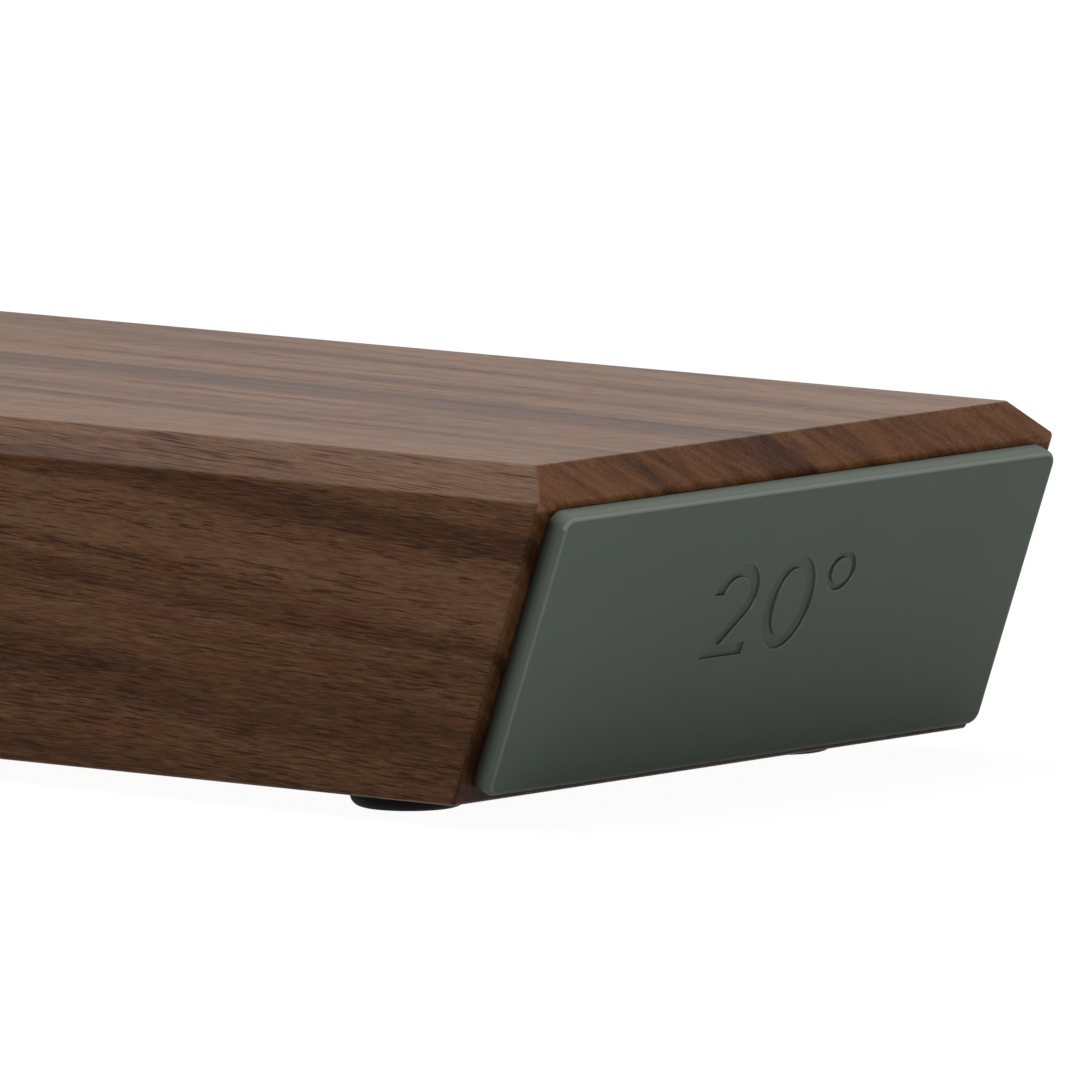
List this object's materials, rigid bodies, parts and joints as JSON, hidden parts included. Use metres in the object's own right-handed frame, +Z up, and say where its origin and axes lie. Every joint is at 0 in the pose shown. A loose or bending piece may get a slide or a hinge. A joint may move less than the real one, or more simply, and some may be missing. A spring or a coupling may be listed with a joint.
{
  "type": "knife sharpening angle block",
  "caption": "Low walnut block with magnetic silicone knife faces on its slanted ends, which hold a blade at a set angle for a rolling knife sharpener, on rubber feet.",
  "frame": {"origin": "on the table, under the middle of the whole block", "axes": "+Z up, +X along the block towards the steeper knife face, +Y across it"},
  "size_m": [0.121, 0.06, 0.0268],
  "materials": {
    "walnut": "oiled, satin",
    "silicone": "matte, sage green",
    "adhesive": "translucent film",
    "carrier": "moulded, fine texture",
    "yoke_steel": "zinc plated",
    "screw_steel": "zinc plated",
    "magnet": "nickel plated",
    "foot_rubber": "matte black"
  },
  "bodies": {
    "root": {"walnut_block": "walnut", "silicone_pad_20": "silicone", "adhesive_film_20": "adhesive", "magnet_carrier_20": "carrier", "yoke_plate_20": "yoke_steel", "carrier_screws_20": "screw_steel", "magnet_20_1": "magnet", "magnet_20_2": "magnet", "magnet_20_3": "magnet", "magnet_20_4": "magnet", "magnet_20_5": "magnet", "magnet_20_6": "magnet", "magnet_20_7": "magnet", "magnet_20_8": "magnet", "foot_20_front": "foot_rubber", "foot_adhesive_20_front": "adhesive", "foot_20_back": "foot_rubber", "foot_adhesive_20_back": "adhesive", "silicone_pad_15": "silicone", "adhesive_film_15": "adhesive", "magnet_carrier_15": "carrier", "yoke_plate_15": "yoke_steel", "carrier_screws_15": "screw_steel", "magnet_15_1": "magnet", "magnet_15_2": "magnet", "magnet_15_3": "magnet", "magnet_15_4": "magnet", "magnet_15_5": "magnet", "magnet_15_6": "magnet", "magnet_15_7": "magnet", "magnet_15_8": "magnet", "foot_15_front": "foot_rubber", "foot_adhesive_15_front": "adhesive", "foot_15_back": "foot_rubber", "foot_adhesive_15_back": "adhesive"}
  },
  "joints": []
}
